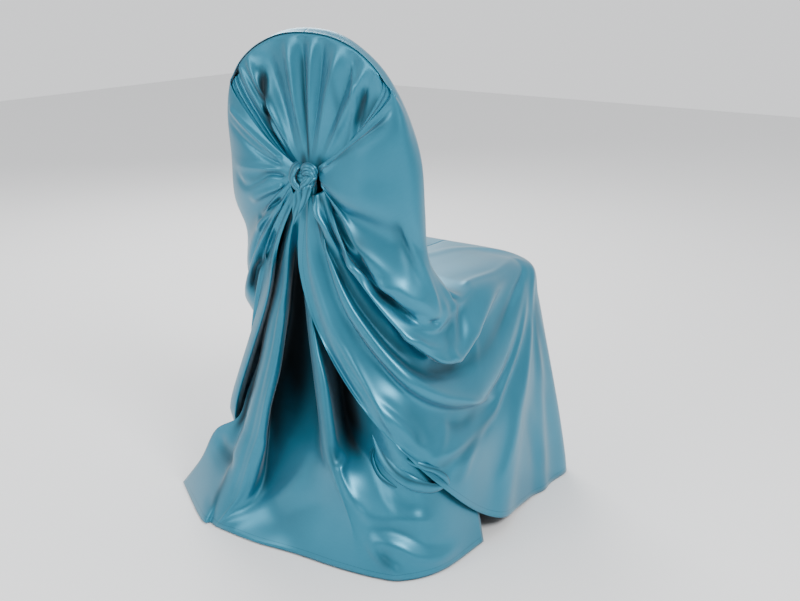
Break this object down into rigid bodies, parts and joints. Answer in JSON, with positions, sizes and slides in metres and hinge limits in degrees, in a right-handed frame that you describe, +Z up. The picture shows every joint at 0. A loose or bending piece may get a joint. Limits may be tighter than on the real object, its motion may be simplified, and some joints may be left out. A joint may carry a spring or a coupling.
{
  "type": "chair cover with sash",
  "caption": "Satin self-tie cover for a crown-back banquet chair: gathered hood, wings and swags drawn into a tight knot at the back, skirt falling to the floor.",
  "frame": {"origin": "on the floor, under the middle of the cover's outline", "axes": "+Z up, -Y towards the front of the chair (where a sitter faces), -X to the sitter's right"},
  "size_m": [0.6446, 0.6602, 0.9356],
  "materials": {
    "front_sheet_satin": "smooth teal satin",
    "back_panel_satin": "smooth teal satin",
    "knot_satin": "smooth teal satin",
    "tail_left_satin": "smooth teal satin",
    "tail_right_satin": "smooth teal satin"
  },
  "bodies": {
    "root": {"front_sheet": "front_sheet_satin", "back_panel": "back_panel_satin", "knot": "knot_satin", "tail_left": "tail_left_satin", "tail_right": "tail_right_satin"}
  },
  "joints": []
}
